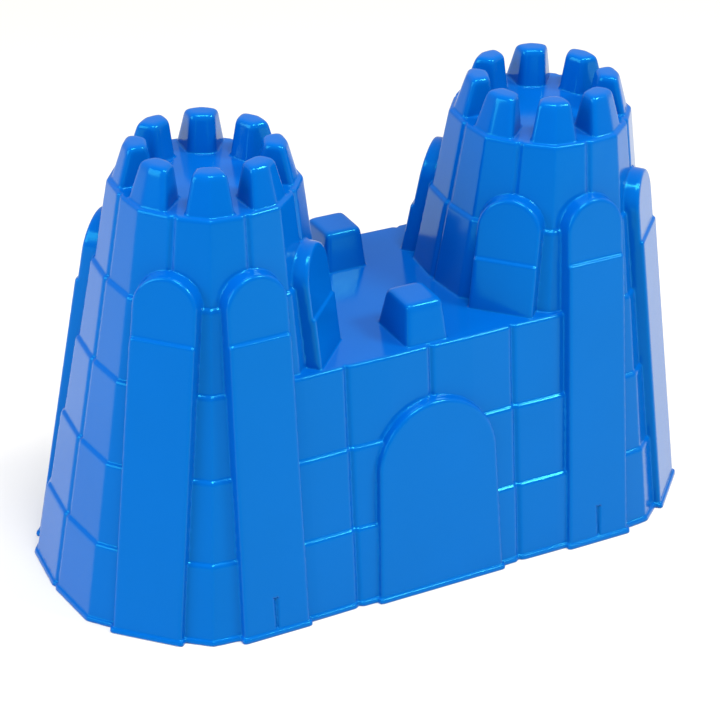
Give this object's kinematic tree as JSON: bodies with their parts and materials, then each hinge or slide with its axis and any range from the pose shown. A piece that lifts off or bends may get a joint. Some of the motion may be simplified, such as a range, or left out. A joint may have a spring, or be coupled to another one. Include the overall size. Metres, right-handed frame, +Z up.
{
  "type": "castle sand mould bucket",
  "caption": "Twin-tower castle sand mould of thin glossy plastic, standing mouth down, with brick courses, buttresses, merlons and a blank arched gate.",
  "frame": {"origin": "on the ground plane under the castle's centre, midway between the two towers, at the underside of the base rim", "axes": "+X along the castle from the left tower to the right tower, the front gate faces -Y, +Z up through the tower roofs, away from the open mouth"},
  "size_m": [0.2652, 0.1288, 0.1745],
  "materials": {
    "moulding": "glossy injection-moulded polypropylene, bright blue all through"
  },
  "bodies": {
    "root": {"left_tower_foot": "moulding", "left_tower_drum": "moulding", "left_tower_roof": "moulding", "left_tower_merlons": "moulding", "left_tower_buttresses": "moulding", "right_tower_foot": "moulding", "right_tower_drum": "moulding", "right_tower_roof": "moulding", "right_tower_merlons": "moulding", "right_tower_buttresses": "moulding", "front_wall": "moulding", "back_wall": "moulding", "front_gate": "moulding", "back_gate": "moulding", "deck": "moulding", "front_deck_merlon": "moulding", "back_deck_merlon": "moulding", "base_rim": "moulding"}
  },
  "joints": []
}
